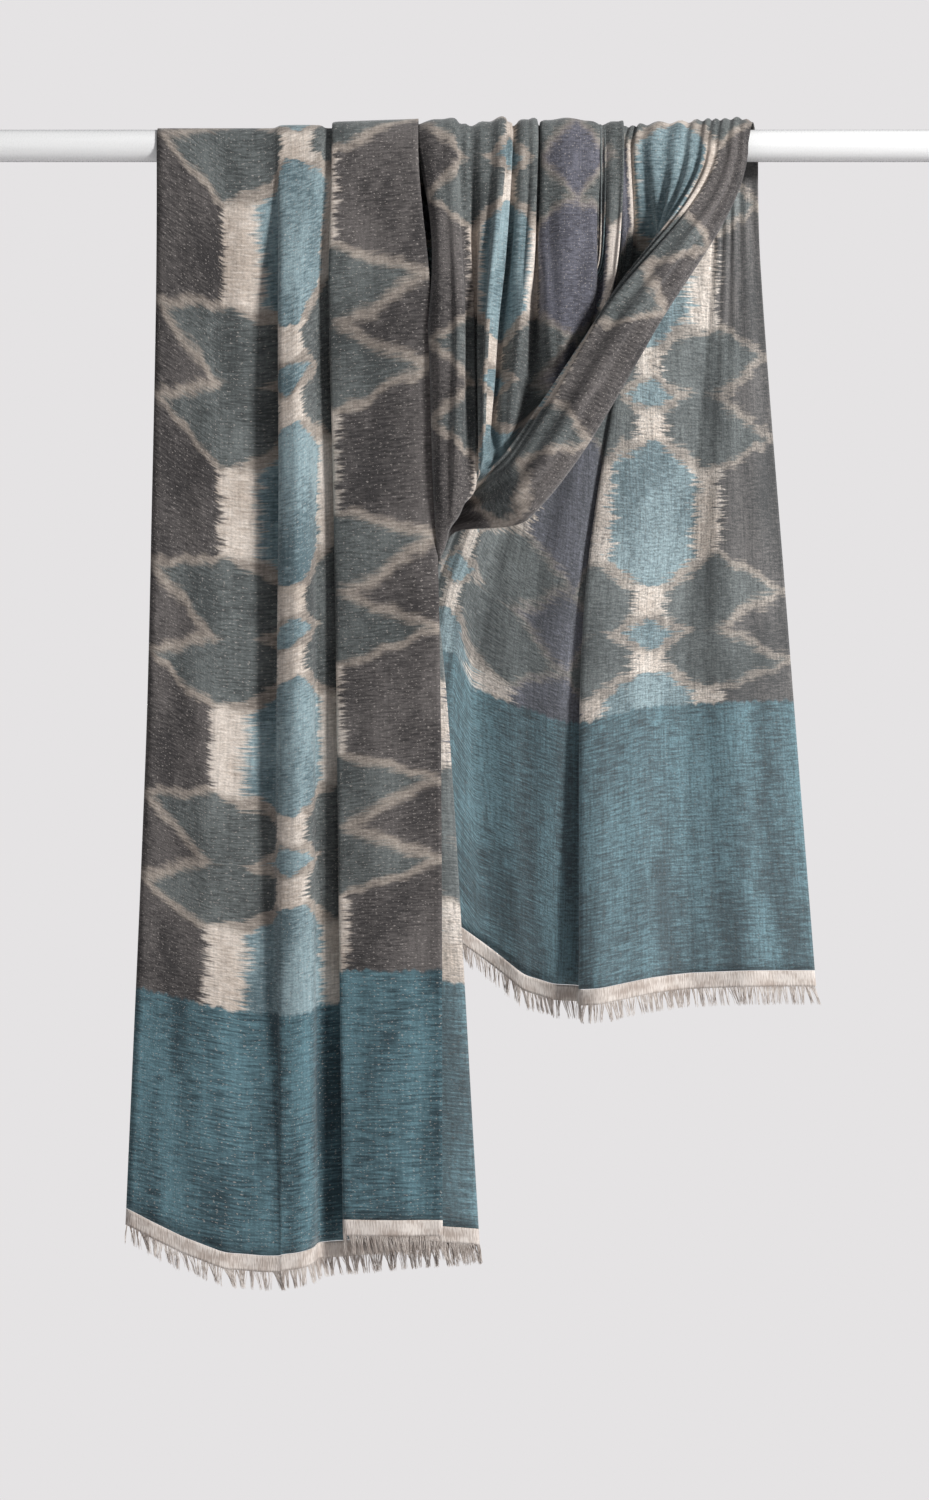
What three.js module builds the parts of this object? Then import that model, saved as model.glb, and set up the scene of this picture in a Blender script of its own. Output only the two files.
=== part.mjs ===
// A pashmina shawl thrown over a plain white rod. The cloth is one rectangle with
// frayed ends. It runs up the front as a long pleated tail, over the rod, through a
// shallow loop behind it, back over the top, down and up again in front as a deep
// swag, over the rod once more, and down behind it as a shorter tail.
//
// Millimetres, +Z up. The origin is on the rod's axis at the middle of its length.
// The front of the shawl faces -Y, and +X is to the viewer's right.
// "cloth" is a distance across the flat cloth from its left selvedge,
// "out" is a distance in front of the rod's axis, and "lift" one above its surface.

import * as THREE from 'three';

// Driving sizes
const ROD_RADIUS = 11;
const ROD_LENGTH = 720;
const ROD_SIDES = 48;
const CLOTH_WIDTH = 460;
const WALL = 1;
const SEAM_GAP = 0.3;
const FOLD_SOFTNESS = 3;
const BAND_DEPTH = 11;
const FRINGE_LENGTH = 13;
const STRANDS = 60;
const STRAND = { rootShare: 0.28, taper: 0.5, uneven: 0.12, unevenTurn: 2.4, lean: 0.8, leanTurn: 1.7 };
const ROD_TAIL = 1.5;

// Rings of points: over the rod, in the loop, and between the sections of each stretch
const ROD_STEPS = 6;
const LOOP_STEPS = 10;
const FRONT_STEPS = [3, 3, 3, 4];
const SWAG_STEPS = [4, 4, 2, 3, 4, 4];
const BACK_STEPS = [4, 5, 5];

// Where the sections of each tail lie, from the rod downwards. Each fold's own drop
// takes the place of the hem's.
const FRONT_HEIGHTS = { rod: 0, high: 105, mid: 243, low: 415, hem: 740 };
const BACK_HEIGHTS = { rod: 1.8, high: 80, mid: 312, hem: 580 };

// The front tail, one row for each fold from the left selvedge to the right one:
// x and lift at the rod and at four places below it, and the drop of its hem.
const FRONT_FOLDS = [
  { fold: 'left selvedge', cloth: 0, drop: 728,
    x: [-210.7, -211, -213.5, -217.6, -231], lift: [0.9, 3, 5, 6, 8] },
  { fold: 'left face', cloth: 40, drop: 746,
    x: [-172, -174, -177, -182, -193], lift: [0.9, 6, 8, 10, 14] },
  { fold: 'recess edge', cloth: 66, drop: 757,
    x: [-152, -153.5, -154, -159, -163], lift: [0.9, 5, 5, 9, 19] },
  { fold: 'recess', cloth: 92, drop: 759,
    x: [-130, -122, -122, -128, -137], lift: [0.9, 1, 0, 6, 20] },
  { fold: 'ridge left', cloth: 104, drop: 759,
    x: [-127, -129.5, -130, -131, -125], lift: [3, 10, 13, 13, 20] },
  { fold: 'ridge crest', cloth: 126, drop: 757,
    x: [-111, -113, -110, -110, -108], lift: [3.2, 16, 20, 20, 20] },
  { fold: 'ridge right', cloth: 146, drop: 753,
    x: [-98, -102, -98, -96, -91], lift: [3, 11, 13, 13, 15] },
  { fold: 'behind ridge', cloth: 154, drop: 752,
    x: [-96, -99, -96, -94, -88], lift: [0.9, 2, 2, 3, 5] },
  { fold: 'inner edge, far side', cloth: 228, drop: 743,
    x: [-40, -38, -24, -8, 10], lift: [0.9, 1, 1, 1, 2] },
  { fold: 'inner edge, near side', cloth: 234, drop: 742,
    x: [-40, -38, -24, -8, 10], lift: [3.1, 4.5, 5, 5, 6] },
  { fold: 'panel left, far side', cloth: 386, drop: 735,
    x: [-91, -93.5, -91, -88.5, -82.5], lift: [3.1, 6, 6.5, 7, 8] },
  { fold: 'panel left, near side', cloth: 392, drop: 735,
    x: [-91, -93.5, -91, -88.5, -82.5], lift: [5.3, 10, 11, 12, 13] },
  { fold: 'right selvedge', cloth: 460, drop: 735,
    x: [-31.6, -23, -19, -16, -15], lift: [7.4, 8.5, 11, 13, 14] },
];

// The swag, one row for each fold from the left selvedge, which is hidden inside,
// to the right one, which is its outer edge. Start and end hold x and lift on the
// rod, and the places between hold x, height and out.
const SWAG_PLACES = { start: 0, left: 1.3, tip: 2.5, notch: 2.9, lip: 3.4, right: 4.9, end: 6.3 };
const SWAG_FOLDS = [
  { fold: 'left selvedge', cloth: 0, start: [80, 2.6], end: [78, 0.9],
    left: [84, -70, 27], tip: [81.5, -87, 27.5], notch: [80.5, -93, 19],
    lip: [83.5, -88, 13], right: [86.5, -51.5, 15] },
  { fold: 'inner edge, far side', cloth: 160, start: [108, 2.7], end: [94, 0.9],
    left: [101, -86, 28], tip: [85.5, -109.5, 21], notch: [92, -100.5, 19],
    lip: [94, -102, 16.5], right: [100.5, -52.5, 19.5] },
  { fold: 'inner edge, near side', cloth: 170, start: [108, 5], end: [98, 1],
    left: [102, -92, 34], tip: [94, -118, 34.5], notch: [93, -119.5, 23],
    lip: [94, -115, 18], right: [101.5, -69.5, 11] },
  { fold: 'slate crest', cloth: 226, start: [84, 6], end: [108, 1.2],
    left: [82, -108, 39], tip: [73.5, -149.5, 32], notch: [74.5, -155.5, 33.5],
    lip: [82, -142, 21], right: [109, -82, 14.5] },
  { fold: 'slate left edge', cloth: 264, start: [58, 5.5], end: [116, 2],
    left: [56, -118, 37], tip: [62, -168, 34.5], notch: [60, -172, 27.5],
    lip: [58.5, -172.5, 20], right: [113, -99.5, 13.5] },
  { fold: 'valley by slate', cloth: 280, start: [50, 3.6], end: [122, 3],
    left: [47, -122, 30], tip: [43.5, -177, 20.5], notch: [54, -181, 27],
    lip: [64.5, -182, 26.5], right: [130.5, -106, 22.5] },
  { fold: 'pale fold', cloth: 300, start: [42, 6], end: [134, 4],
    left: [37, -126, 37], tip: [32, -189.5, 43.5], notch: [33, -209.5, 34],
    lip: [58, -183.5, 32.5], right: [127, -100, 28] },
  { fold: 'middle valley', cloth: 328, start: [33, 3.6], end: [150, 4.4],
    left: [25, -126, 30], tip: [18, -197.5, 41], notch: [24, -217.5, 34.5],
    lip: [48.5, -195.5, 36.5], right: [110, -108.5, 37.5] },
  { fold: 'teal fold', cloth: 354, start: [25, 5.6], end: [163, 6],
    left: [15.5, -126, 37], tip: [13.5, -209.5, 41.5], notch: [13, -226, 39],
    lip: [31.5, -209, 42.5], right: [99, -111, 44] },
  { fold: 'border inner edge', cloth: 392, start: [-4, 4.6], end: [174, 6],
    left: [5, -126, 33], tip: [7, -234, 44], notch: [6, -246, 32],
    lip: [33, -222, 48], right: [92, -122.5, 50] },
  { fold: 'border middle', cloth: 426, start: [-15, 6.2], end: [184, 7.2],
    left: [-8, -126, 38], tip: [-8, -258, 36], notch: [2, -256, 32],
    lip: [37, -243, 56], right: [110, -130, 58] },
  { fold: 'right selvedge', cloth: 460, start: [-29.8, 4], end: [194, 5],
    left: [-23, -126, 32], tip: [-15.5, -283, 31], notch: [0, -266, 28],
    lip: [45, -258, 48], right: [129, -132, 50] },
];
const SWAG_SLIDE = 9;

// The back tail below the rod, one row for each fold: how far behind the axis it
// hangs just below the rod, then x and depth half way down and at the hem.
const BACK_FOLDS = [
  { fold: 'left selvedge', cloth: 0, high: 8, mid: [-62, 22], hem: [-66, 24], drop: 512 },
  { fold: 'left face', cloth: 180, high: 9, mid: [0, 25], hem: [-6, 26], drop: 536 },
  { fold: 'soft valley', cloth: 196, high: 10, mid: [11, 31], hem: [12, 33], drop: 549 },
  { fold: 'left panel', cloth: 232, high: 12, mid: [46, 24], hem: [42, 24], drop: 572 },
  { fold: 'wedge left', cloth: 266, high: 14, mid: [78, 22], hem: [61, 22], drop: 578 },
  { fold: 'wedge', cloth: 279, high: 16, mid: [84, 29], hem: [71, 33], drop: 579 },
  { fold: 'wedge right', cloth: 292, high: 16, mid: [90, 22], hem: [82, 21], drop: 581 },
  { fold: 'right panel', cloth: 340, high: 17, mid: [127, 19], hem: [128, 18], drop: 573 },
  { fold: 'right valley', cloth: 400, high: 19, mid: [175, 24], hem: [188, 26], drop: 568 },
  { fold: 'right selvedge', cloth: 460, high: 16, mid: [223, 17], hem: [243, 17], drop: 568 },
];
const BACK_FAN_AT_HIGH = 0.09;

// The loop behind the rod: how deep each selvedge dips, and how far the cloth stands
// off while its folds turn over, early in the loop and late in it. A bend under 1
// brings that turn forward, and one over 1 puts it off.
const LOOP = { leftDip: 120, rightDip: 25, earlyBend: 0.7, lateBend: 1.6, sharpness: 4 };
const LOOP_FOLDS = [
  { fold: 'left selvedge', cloth: 0, early: 0, late: -24 },
  { fold: 'swag inner edge', cloth: 165, early: 0, late: 0 },
  { fold: 'tail inner edge', cloth: 231, early: 0, late: 2 },
  { fold: 'tail panel edge', cloth: 389, early: 30, late: 6 },
  { fold: 'right selvedge', cloth: 460, early: 26, late: 6 },
];

// Evens out the corners of a folded line: the mean of a few places beside each other
const SOFT_WEIGHTS = [1, 4, 6, 4, 1];
const SOFT_TOTAL = 16;
const SOFT_MIDDLE = 2;

// A place between the rows of a table, going on straight past its first and last row
function between(rows, cloth, valueOf) {
  let i = 0;
  while (i < rows.length - 2 && cloth > rows[i + 1].cloth) i += 1;
  const share = (cloth - rows[i].cloth) / (rows[i + 1].cloth - rows[i].cloth);
  return valueOf(rows[i]).lerp(valueOf(rows[i + 1]), share);
}

// The section of a stretch at one place: a function from cloth to a point
function section(rows, valueOf) {
  return (cloth) => {
    const point = new THREE.Vector3();
    SOFT_WEIGHTS.forEach((weight, k) => {
      const beside = cloth + (k - SOFT_MIDDLE) * FOLD_SOFTNESS;
      point.addScaledVector(between(rows, beside, valueOf), weight / SOFT_TOTAL);
    });
    return point;
  };
}

// A point from x, out and height
const place = (x, out, height) => new THREE.Vector3(x, -out, height);

// A smooth run through the sections at the given places along the cloth. Where it
// leaves the rod, it leaves straight down.
function run(places, sections, rodAtStart, rodAtEnd) {
  const last = places.length - 1;
  return (at) => {
    let i = 0;
    while (i < last - 1 && at > places[i + 1]) i += 1;
    const span = places[i + 1] - places[i];
    const t = (at - places[i]) / span;
    return (cloth) => {
      const point = (k) => sections[k](cloth);
      const slope = (k) => {
        const before = Math.max(k - 1, 0);
        const after = Math.min(k + 1, last);
        const result = point(after).sub(point(before)).divideScalar(places[after] - places[before]);
        const onRod = (k === 0 && rodAtStart) || (k === last && rodAtEnd);
        return onRod ? new THREE.Vector3(0, 0, result.z) : result;
      };
      const h = t * t * (3 - 2 * t);
      return point(i).lerp(point(i + 1), h)
        .addScaledVector(slope(i), span * t * (1 - t) * (1 - t))
        .addScaledVector(slope(i + 1), -span * t * t * (1 - t));
    };
  };
}

// The rings that carry a section over the rod, from the front (0) to the back (1)
// or the other way, with a short straight end behind the rod.
function ringsOverRod(lineOnRod, slide, fromFront) {
  const rings = [];
  for (let i = 0; i <= ROD_STEPS; i += 1) {
    const share = i / ROD_STEPS;
    const angle = Math.PI * share;
    rings.push((cloth) => {
      const { x: along, y: lift } = lineOnRod(cloth);
      const reach = ROD_RADIUS + lift;
      return place(along + slide * share, reach * Math.cos(angle), reach * Math.sin(angle));
    });
  }
  rings.push((cloth) => {
    const { x: along, y: lift } = lineOnRod(cloth);
    return place(along + slide, -ROD_RADIUS - lift, -ROD_TAIL);
  });
  return fromFront ? rings : rings.reverse();
}

// Rings at even steps between the given places of a run
function ringsAlong(runAt, places, steps) {
  const rings = [];
  steps.forEach((count, i) => {
    for (let k = 0; k < count; k += 1) {
      rings.push(runAt(THREE.MathUtils.lerp(places[i], places[i + 1], k / count)));
    }
  });
  rings.push(runAt(places[places.length - 1]));
  return rings;
}

// The places across the cloth where a wall has its points: on each fold and beside it
const BESIDE_FOLD = 7;
const WIDE_SPAN = 20;
const NARROW_SPAN = 7;
function columnsFor(rows) {
  const folds = [...new Set(rows.map((row) => row.cloth))].sort((a, b) => a - b);
  const columns = [];
  folds.slice(0, -1).forEach((fold, i) => {
    const next = folds[i + 1];
    columns.push(fold);
    if (next - fold > WIDE_SPAN) columns.push(fold + BESIDE_FOLD, next - BESIDE_FOLD);
    else if (next - fold > NARROW_SPAN) columns.push((fold + next) / 2);
  });
  columns.push(folds.at(-1));
  return columns;
}

// A closed wall of even thickness on both sides of a grid of rings and columns. With
// a fringe given, its strands stand out of the wall's first ring.
function wallGeometry(rings, columns, fringe = null) {
  const grid = rings.map((ring) => columns.map((cloth) => ring(cloth)));
  const rows = grid.length;
  const across = columns.length;
  const clampTo = (value, end) => Math.min(Math.max(value, 0), end - 1);
  const normalAt = (r, c) => {
    const along = grid[clampTo(r + 1, rows)][c].clone().sub(grid[clampTo(r - 1, rows)][c]);
    const sideways = grid[r][clampTo(c + 1, across)].clone().sub(grid[r][clampTo(c - 1, across)]);
    return along.cross(sideways).normalize();
  };
  const positions = [];
  for (const side of [1, -1]) {
    grid.forEach((line, r) => line.forEach((point, c) => {
      const moved = point.clone().addScaledVector(normalAt(r, c), side * WALL / 2);
      positions.push(moved.x, moved.y, moved.z);
    }));
  }
  const faces = [];
  const index = (side, r, c) => side * rows * across + r * across + c;
  const right = across - 1;
  const top = rows - 1;
  const quad = (a, b, c, d) => faces.push(a, b, c, a, c, d);
  for (let r = 0; r < rows - 1; r += 1) {
    for (let c = 0; c < across - 1; c += 1) {
      quad(index(0, r, c), index(0, r + 1, c), index(0, r + 1, c + 1), index(0, r, c + 1));
      quad(index(1, r, c), index(1, r, c + 1), index(1, r + 1, c + 1), index(1, r + 1, c));
    }
    quad(index(0, r, 0), index(1, r, 0), index(1, r + 1, 0), index(0, r + 1, 0));
    quad(index(0, r, right), index(0, r + 1, right), index(1, r + 1, right), index(1, r, right));
  }
  for (let c = 0; c < across - 1; c += 1) {
    const root = [index(0, 0, c), index(0, 0, c + 1), index(1, 0, c + 1), index(1, 0, c)];
    const strand = fringe ? fringe.strandAfter(c) : -1;
    if (strand < 0) {
      quad(...root);
    } else {
      const first = positions.length / 3;
      root.forEach((corner, k) => {
        const cloth = columns[c + (k === 1 || k === 2 ? 1 : 0)];
        const point = new THREE.Vector3().fromArray(positions, corner * 3);
        positions.push(...fringe.tipOf(strand, cloth, point));
      });
      for (let k = 0; k < 4; k += 1) {
        const next = (k + 1) % 4;
        quad(root[k], root[next], first + next, first + k);
      }
      quad(first, first + 1, first + 2, first + 3);
    }
    quad(index(0, top, c), index(1, top, c), index(1, top, c + 1), index(0, top, c + 1));
  }
  const geometry = new THREE.BufferGeometry();
  geometry.setAttribute('position', new THREE.Float32BufferAttribute(positions, 3));
  geometry.setIndex(faces);
  return geometry;
}

// Front tail: from its hem up to the rod and over it
const frontPlaces = Object.values(FRONT_HEIGHTS);
const frontSections = frontPlaces.map((height, k) => section(FRONT_FOLDS, (row) => (
  place(row.x[k], ROD_RADIUS + row.lift[k], height === FRONT_HEIGHTS.hem ? -row.drop : -height)
)));
const frontRun = run(frontPlaces, frontSections, true, false);
const frontOnRod = section(FRONT_FOLDS, (row) => new THREE.Vector3(row.x[0], row.lift[0], 0));
const frontRings = [
  ...ringsAlong(frontRun, frontPlaces, FRONT_STEPS).reverse(),
  ...ringsOverRod(frontOnRod, 0, true).slice(1),
];

// Swag: over the rod to the front, down, round and up, and over the rod to the back
const swagPlaces = Object.values(SWAG_PLACES);
const swagSections = Object.keys(SWAG_PLACES).map((name) => section(SWAG_FOLDS, (row) => {
  const [x, second, out] = row[name];
  return out === undefined ? place(x, ROD_RADIUS + second, 0) : place(x, out, second);
}));
const swagRun = run(swagPlaces, swagSections, true, true);
const swagStartOnRod = section(SWAG_FOLDS, (row) => new THREE.Vector3(...row.start, 0));
const swagEndOnRod = section(SWAG_FOLDS, (row) => new THREE.Vector3(...row.end, 0));
const swagRings = [
  ...ringsOverRod(swagStartOnRod, 0, false).slice(0, -1),
  ...ringsAlong(swagRun, swagPlaces, SWAG_STEPS),
  ...ringsOverRod(swagEndOnRod, SWAG_SLIDE, true).slice(1),
];

// Loop: half an ellipse behind the rod from each place on the front tail's end to
// the same place across the cloth on the swag's start
const loopStandOff = section(LOOP_FOLDS, (row) => new THREE.Vector3(row.early, row.late, 0));
function loopRing(share) {
  const angle = Math.PI * share;
  const sag = Math.sin(angle);
  const across = (1 - Math.cos(angle)) / 2;
  const early = Math.sin(Math.PI * share ** LOOP.earlyBend) ** LOOP.sharpness;
  const late = Math.sin(Math.PI * share ** LOOP.lateBend) ** LOOP.sharpness;
  return (cloth) => {
    const start = frontOnRod(cloth);
    const end = swagStartOnRod(cloth);
    const width = cloth / CLOTH_WIDTH;
    const dip = THREE.MathUtils.lerp(LOOP.leftDip, LOOP.rightDip, width);
    const standOff = loopStandOff(cloth);
    const lift = THREE.MathUtils.lerp(start.y, end.y, across);
    const behind = ROD_RADIUS + lift + standOff.x * early + standOff.y * late;
    const x = THREE.MathUtils.lerp(start.x, end.x, across);
    return place(x, -behind, -ROD_TAIL - SEAM_GAP - dip * sag);
  };
}
const loopRings = Array.from({ length: LOOP_STEPS + 1 }, (_, i) => loopRing(i / LOOP_STEPS));

// Back tail: from the rod down to its hem
const backPlaces = Object.values(BACK_HEIGHTS);
const backAtMid = section(BACK_FOLDS, (row) => place(row.mid[0], -row.mid[1], -BACK_HEIGHTS.mid));
const backAtRod = (cloth) => {
  const { x, y: lift } = swagEndOnRod(cloth);
  return place(x + SWAG_SLIDE, -ROD_RADIUS - lift, -BACK_HEIGHTS.rod);
};
const backDepthAtHigh = section(BACK_FOLDS, (row) => place(0, -row.high, 0));
const backAtHigh = (cloth) => {
  const x = THREE.MathUtils.lerp(backAtRod(cloth).x, backAtMid(cloth).x, BACK_FAN_AT_HIGH);
  return new THREE.Vector3(x, backDepthAtHigh(cloth).y, -BACK_HEIGHTS.high);
};
const backAtHem = section(BACK_FOLDS, (row) => place(row.hem[0], -row.hem[1], -row.drop));
const backRun = run(backPlaces, [backAtRod, backAtHigh, backAtMid, backAtHem], true, false);
const backRings = ringsAlong(backRun, backPlaces, BACK_STEPS);

// A frayed end: the plain band below a hem, with a fringe strand standing out of its
// lower edge at every even step across the cloth
function frayedEnd(hem, above) {
  const below = (distance) => (cloth) => {
    const down = hem(cloth).sub(above(cloth)).normalize();
    return hem(cloth).addScaledVector(down, distance);
  };
  const pitch = CLOTH_WIDTH / STRANDS;
  const columns = [0];
  for (let i = 0; i < STRANDS; i += 1) {
    const middle = (i + 0.5) * pitch;
    columns.push(middle - STRAND.rootShare * pitch, middle + STRAND.rootShare * pitch);
  }
  columns.push(CLOTH_WIDTH);
  const bandEnd = SEAM_GAP + BAND_DEPTH;
  const strandAfter = (column) => (column % 2 === 1 ? (column - 1) / 2 : -1);
  const tipOf = (strand, cloth, point) => {
    const length = FRINGE_LENGTH * (1 + STRAND.uneven * Math.sin(strand * STRAND.unevenTurn));
    const middle = (strand + 0.5) * pitch;
    const narrowed = middle + (cloth - middle) * STRAND.taper;
    const drop = below(bandEnd + length)(narrowed).sub(below(bandEnd)(narrowed));
    const tip = point.clone().add(drop);
    tip.x += below(bandEnd)(narrowed).x - below(bandEnd)(cloth).x;
    tip.x += STRAND.lean * Math.sin(strand * STRAND.leanTurn);
    return tip;
  };
  return wallGeometry([below(bandEnd), below(SEAM_GAP)], columns, { strandAfter, tipOf });
}

// Materials
const clothMaterial = new THREE.MeshStandardMaterial({ color: '#4c5f67', roughness: 0.9, metalness: 0 });
const creamMaterial = new THREE.MeshStandardMaterial({ color: '#c9bbb0', roughness: 0.92, metalness: 0 });
const rodMaterial = new THREE.MeshStandardMaterial({ color: '#f1f2f2', roughness: 0.35, metalness: 0 });

// The parts, each one named mesh
const shawl = new THREE.Group();
function addPart(name, geometry, material) {
  const mesh = new THREE.Mesh(geometry, material);
  mesh.name = name;
  shawl.add(mesh);
  return mesh;
}

const rodGeometry = new THREE.CylinderGeometry(ROD_RADIUS, ROD_RADIUS, ROD_LENGTH, ROD_SIDES, 1);
const rod = addPart('rod', rodGeometry, rodMaterial);
rod.rotation.z = Math.PI / 2;
addPart('front_tail', wallGeometry(frontRings, columnsFor(FRONT_FOLDS)), clothMaterial);
addPart('back_loop', wallGeometry(loopRings, columnsFor([...FRONT_FOLDS, ...SWAG_FOLDS])), clothMaterial);
addPart('swag', wallGeometry(swagRings, columnsFor(SWAG_FOLDS)), clothMaterial);
addPart('back_tail', wallGeometry(backRings, columnsFor(BACK_FOLDS)), clothMaterial);
addPart('front_fringe', frayedEnd(frontRings[0], frontRings[1]), creamMaterial);
addPart('back_fringe', frayedEnd(backRings.at(-1), backRings.at(-2)), creamMaterial);

export default shawl;
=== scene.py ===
# A long pashmina shawl thrown over a plain white rod: a pleated tail in front, a
# hidden loop behind the rod, a deep swag in front, and a shorter tail behind.
import math

import bpy
import numpy as np
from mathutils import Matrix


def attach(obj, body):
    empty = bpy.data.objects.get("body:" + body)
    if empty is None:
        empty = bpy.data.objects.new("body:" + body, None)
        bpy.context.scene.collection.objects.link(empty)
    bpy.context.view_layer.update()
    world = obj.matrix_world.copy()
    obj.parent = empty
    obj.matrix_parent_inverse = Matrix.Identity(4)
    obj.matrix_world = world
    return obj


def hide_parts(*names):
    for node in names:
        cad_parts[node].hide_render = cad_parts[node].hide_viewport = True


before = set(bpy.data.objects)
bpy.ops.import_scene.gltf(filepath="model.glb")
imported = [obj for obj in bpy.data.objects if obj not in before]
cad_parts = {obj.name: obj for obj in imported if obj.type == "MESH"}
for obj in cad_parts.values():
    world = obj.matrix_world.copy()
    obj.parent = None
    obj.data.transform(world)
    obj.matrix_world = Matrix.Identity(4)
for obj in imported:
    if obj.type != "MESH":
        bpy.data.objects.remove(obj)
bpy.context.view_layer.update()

# View
# The shawl is seen straight on, from the height of the swag, from far enough away
# that the rod stays level and the tails hang without any lean. Places are in
# metres, the lens and its film in millimetres.
VIEW_HEIGHT = 1.03125
VIEW_MIDDLE = -0.4153
LENS = 95.0
FILM = 36.0

view = bpy.data.objects.new("view", bpy.data.cameras.new("view"))
view.data.lens = LENS
view.data.sensor_width = FILM
view.location = (0.0, -LENS / FILM * VIEW_HEIGHT, VIEW_MIDDLE)
view.rotation_euler = (math.pi / 2, 0.0, 0.0)
bpy.context.collection.objects.link(view)
bpy.context.scene.camera = view
bpy.context.scene.view_settings.view_transform = "Standard"


# Rod
# The rod is a plain round bar of turned wood under a smooth white lacquer. It runs
# level through the shawl and is held at both ends, outside the view.
LACQUER = ("#f0f0ef", "#f8f8f7")
LACQUER_ROUGHNESS = (0.24, 0.36)
LACQUER_COAT = 0.4
WOOD_GRAIN = (0.004, 0.09)
WOOD_RELIEF = 0.0002
WOOD_STRENGTH = 0.3
DUST_SIZE = 0.0012
DUST_RANGE = (-0.3, 0.4)


def linear(colour):
    """The shader's own colour for a colour given as on a paint chart, such as #c9bbb0."""
    parts = [int(colour[i:i + 2], 16) / 255 for i in (1, 3, 5)]
    return [p / 12.92 if p <= 0.04045 else ((p + 0.055) / 1.055) ** 2.4 for p in parts] + [1.0]


def feed(tree, value, socket):
    """Gives a socket its value, which is a number, a colour or another node's output."""
    if isinstance(value, bpy.types.NodeSocket):
        tree.links.new(value, socket)
    elif isinstance(value, str):
        socket.default_value = linear(value)
    else:
        socket.default_value = value


def new_material(name):
    material = bpy.data.materials.new(name)
    material.use_nodes = True
    return material, material.node_tree, material.node_tree.nodes["Principled BSDF"]


def new_group(name, numbers):
    """An empty node group with number inputs, each given by its name and value."""
    tree = bpy.data.node_groups.new(name, "ShaderNodeTree")
    for label, value in numbers:
        socket = tree.interface.new_socket(label, in_out="INPUT", socket_type="NodeSocketFloat")
        socket.default_value = value
    return tree


def maths(tree, operation, *values):
    node = tree.nodes.new("ShaderNodeMath")
    node.operation = operation
    for socket, value in zip(node.inputs, values):
        feed(tree, value, socket)
    return node.outputs[0]


def ease(tree, value, low, high, at_low=0.0, at_high=1.0, kind="SMOOTHSTEP"):
    """Goes from at_low to at_high while value goes from low to high, and stays there."""
    node = tree.nodes.new("ShaderNodeMapRange")
    node.interpolation_type = kind
    for socket, given in zip(node.inputs, (value, low, high, at_low, at_high)):
        feed(tree, given, socket)
    return node.outputs[0]


def mottle_group():
    """Random patches from -0.5 to 0.5, about as wide and as long as given."""
    tree = new_group("mottle", (
        ("Across", 0.0), ("Along", 0.0), ("Width", 1.0), ("Length", 1.0), ("Detail", 2.0),
    ))
    tree.interface.new_socket("Patches", in_out="OUTPUT", socket_type="NodeSocketFloat")
    given = tree.nodes.new("NodeGroupInput").outputs
    place = tree.nodes.new("ShaderNodeCombineXYZ")
    feed(tree, maths(tree, "DIVIDE", given["Across"], given["Width"]), place.inputs[0])
    feed(tree, maths(tree, "DIVIDE", given["Along"], given["Length"]), place.inputs[1])
    noise = tree.nodes.new("ShaderNodeTexNoise")
    noise.noise_dimensions = "2D"
    noise.inputs["Scale"].default_value = 1.0
    tree.links.new(given["Detail"], noise.inputs["Detail"])
    tree.links.new(place.outputs[0], noise.inputs["Vector"])
    patches = maths(tree, "SUBTRACT", noise.outputs[0], 0.5)
    tree.links.new(patches, tree.nodes.new("NodeGroupOutput").inputs["Patches"])
    return tree


MOTTLE = mottle_group()


def mottle(tree, across, along, width, length, detail=2.0):
    node = tree.nodes.new("ShaderNodeGroup")
    node.node_tree = MOTTLE
    for socket, value in zip(node.inputs, (across, along, width, length, detail)):
        feed(tree, value, socket)
    return node.outputs["Patches"]


def blend(tree, share, first, second):
    node = tree.nodes.new("ShaderNodeMix")
    node.data_type = "RGBA"
    feed(tree, share, node.inputs[0])
    feed(tree, first, node.inputs[6])
    feed(tree, second, node.inputs[7])
    return node.outputs[2]


def raise_surface(tree, shader, height, distance, strength):
    bump = tree.nodes.new("ShaderNodeBump")
    bump.inputs["Distance"].default_value = distance
    bump.inputs["Strength"].default_value = strength
    feed(tree, height, bump.inputs["Height"])
    tree.links.new(bump.outputs[0], shader.inputs["Normal"])


def object_place(tree):
    """Distances along the object's own three directions, in metres."""
    place = tree.nodes.new("ShaderNodeTexCoord")
    parts = tree.nodes.new("ShaderNodeSeparateXYZ")
    tree.links.new(place.outputs["Object"], parts.inputs[0])
    return parts.outputs


def lacquer_material():
    material, tree, shader = new_material("white_lacquer")
    along, _, height = object_place(tree)
    grain = mottle(tree, height, along, *WOOD_GRAIN)
    dust = mottle(tree, height, along, DUST_SIZE, DUST_SIZE)
    colour = blend(tree, maths(tree, "ADD", grain, 0.5), *LACQUER)
    feed(tree, colour, shader.inputs["Base Color"])
    feed(tree, ease(tree, dust, *DUST_RANGE, *LACQUER_ROUGHNESS), shader.inputs["Roughness"])
    raise_surface(tree, shader, grain, WOOD_RELIEF, WOOD_STRENGTH)
    shader.inputs["Coat Weight"].default_value = LACQUER_COAT
    return material


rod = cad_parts["rod"]
rod.data.materials.clear()
rod.data.materials.append(lacquer_material())


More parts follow.
